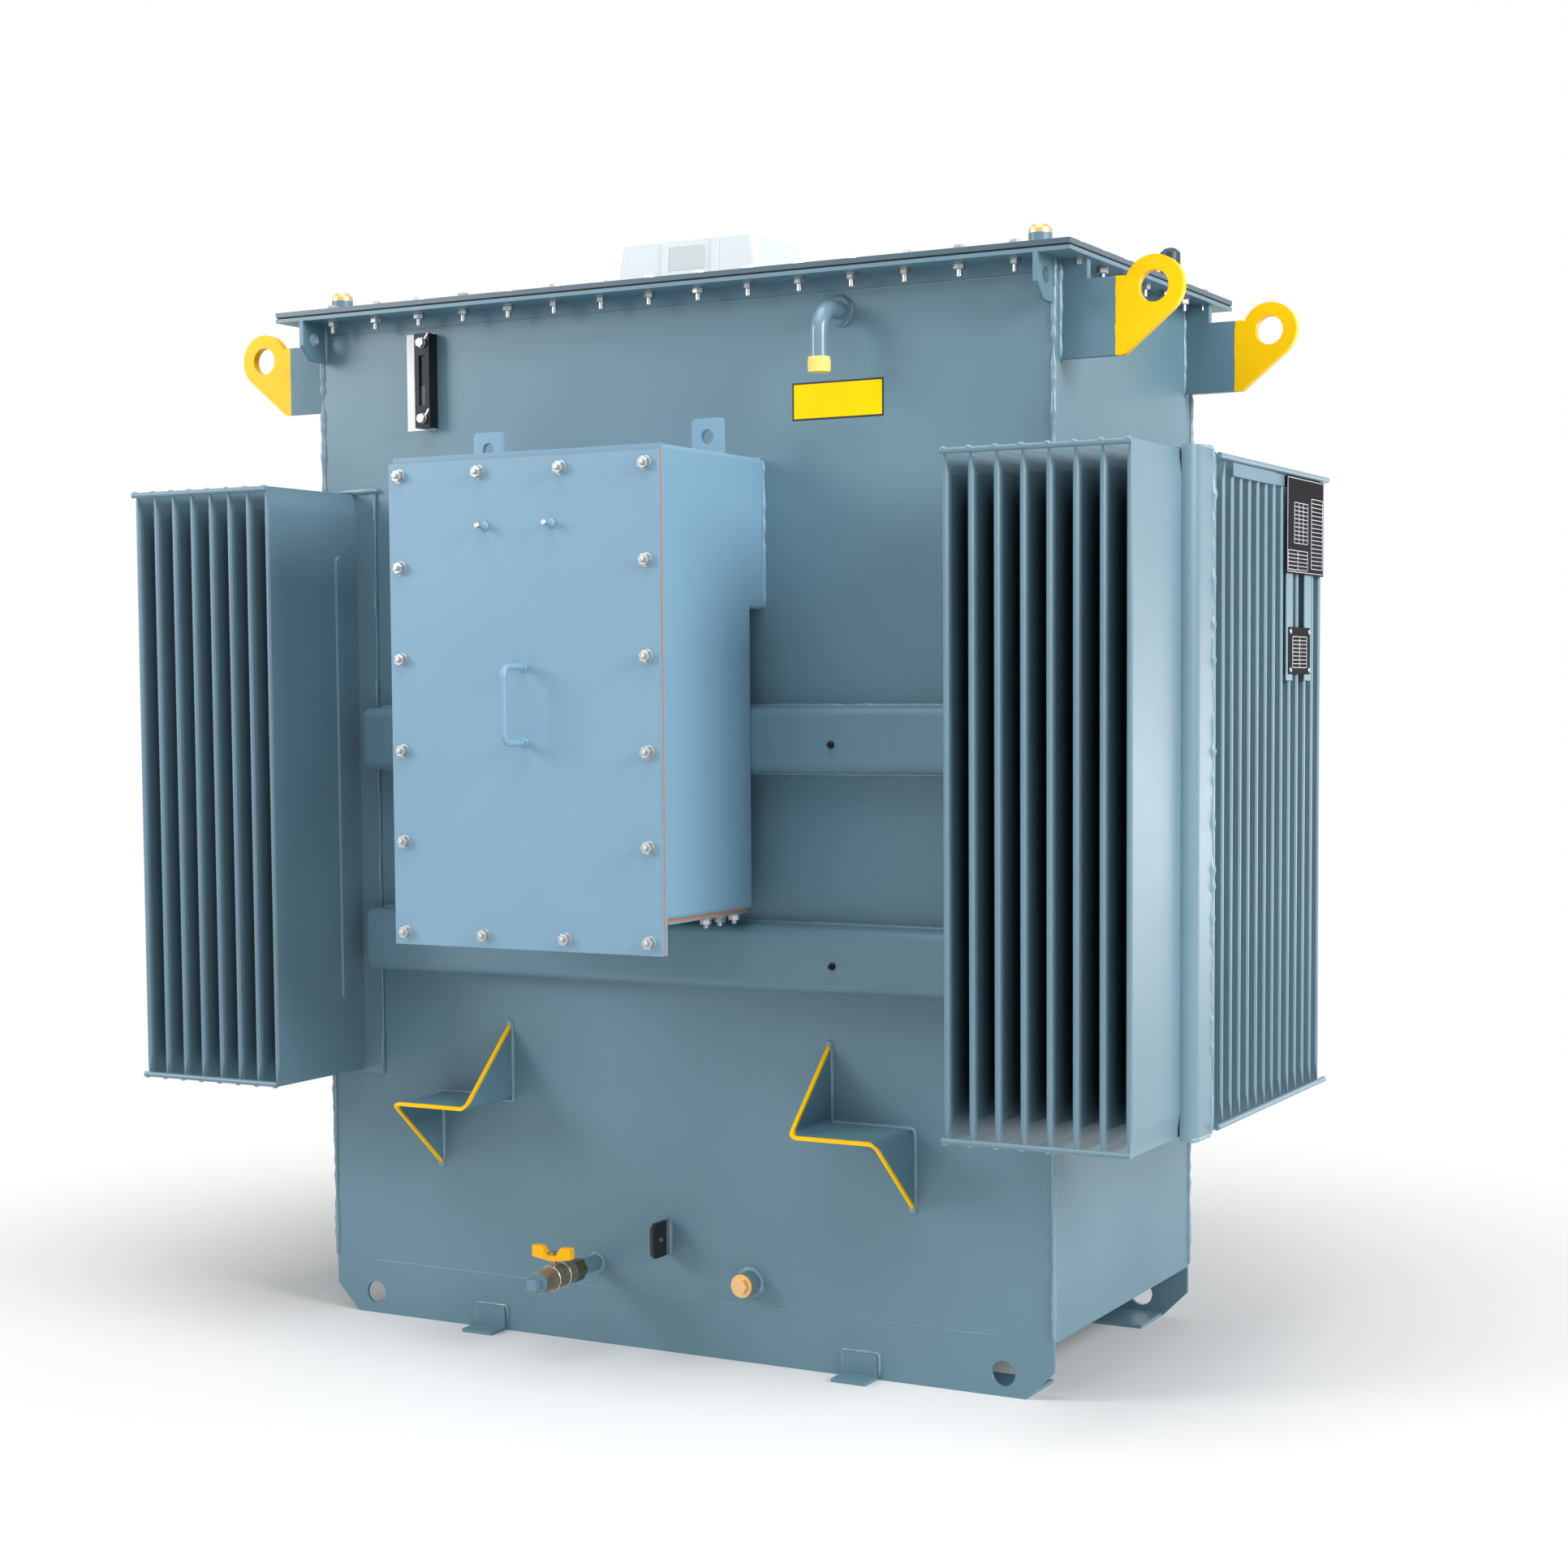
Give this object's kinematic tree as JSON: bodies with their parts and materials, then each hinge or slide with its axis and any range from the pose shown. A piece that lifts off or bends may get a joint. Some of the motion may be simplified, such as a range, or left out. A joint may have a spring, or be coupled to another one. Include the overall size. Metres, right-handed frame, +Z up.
{
  "type": "three-phase transformer",
  "caption": "Oil-filled three-phase transformer: a bolted-lid steel tank with finned radiators at both sides, cable boxes, lifting eyes, steps and a drain valve.",
  "frame": {"origin": "on the ground at the middle of the tank", "axes": "+X to the right seen from the front, -Y towards the front with the step brackets, +Z up"},
  "size_m": [1.868, 1.364, 1.846],
  "materials": {
    "grey_paint": "semi-gloss blue-grey paint",
    "gasket_rubber": "matte",
    "cork": "pressed cork, matte",
    "gauge_plastic": "black, satin",
    "yellow_plastic": "pale yellow",
    "brass": "turned, dull",
    "dark_plastic": "dark, satin",
    "pale_plastic": "pale grey moulding",
    "plated_brass": "nickel-plated brass, worn",
    "yellow_paint": "yellow paint"
  },
  "bodies": {
    "transformer": {"front_wall": "grey_paint", "rear_wall": "grey_paint", "right_wall": "grey_paint", "left_wall": "grey_paint", "tank_floor": "grey_paint", "base_skids": "grey_paint", "top_flange": "grey_paint", "lid": "grey_paint", "front_stiffeners": "grey_paint", "rear_stiffeners": "grey_paint", "right_front_fins": "grey_paint", "left_front_fins": "grey_paint", "right_side_fins": "grey_paint", "left_side_fins": "grey_paint", "right_radiator_header": "grey_paint", "left_radiator_header": "grey_paint", "right_tip_rods": "grey_paint", "left_tip_rods": "grey_paint", "front_cable_box": "grey_paint", "rear_cable_box": "grey_paint", "front_box_cover": "grey_paint", "rear_box_cover": "grey_paint", "front_box_handle": "grey_paint", "rear_box_handle": "grey_paint", "front_lifting_lugs": "grey_paint", "rear_lifting_lugs": "grey_paint", "tie_down_plates": "grey_paint", "step_brackets": "grey_paint", "foot_cleats": "grey_paint", "breather_pipe": "grey_paint", "threaded_bosses": "grey_paint", "drain_stub": "grey_paint", "drain_plug": "grey_paint", "earthing_plate": "grey_paint", "gland_plates": "grey_paint", "lid_gasket": "gasket_rubber", "front_box_gaskets": "cork", "rear_box_gaskets": "cork", "oil_level_gauge": "gauge_plastic", "breather_cap": "yellow_plastic", "brass_plugs": "brass", "pressure_relief_valve": "dark_plastic", "relay_box": "pale_plastic", "drain_valve": "plated_brass"},
    "drain_handle": {"drain_handle": "yellow_paint"}
  },
  "joints": [
    {"name": "drain_valve_turn", "type": "hinge", "parent": "transformer", "child": "drain_handle", "pos_m": [-0.141, -0.432, 0.17], "axis": [0, 0, 1], "range_deg": [0, 90]}
  ]
}
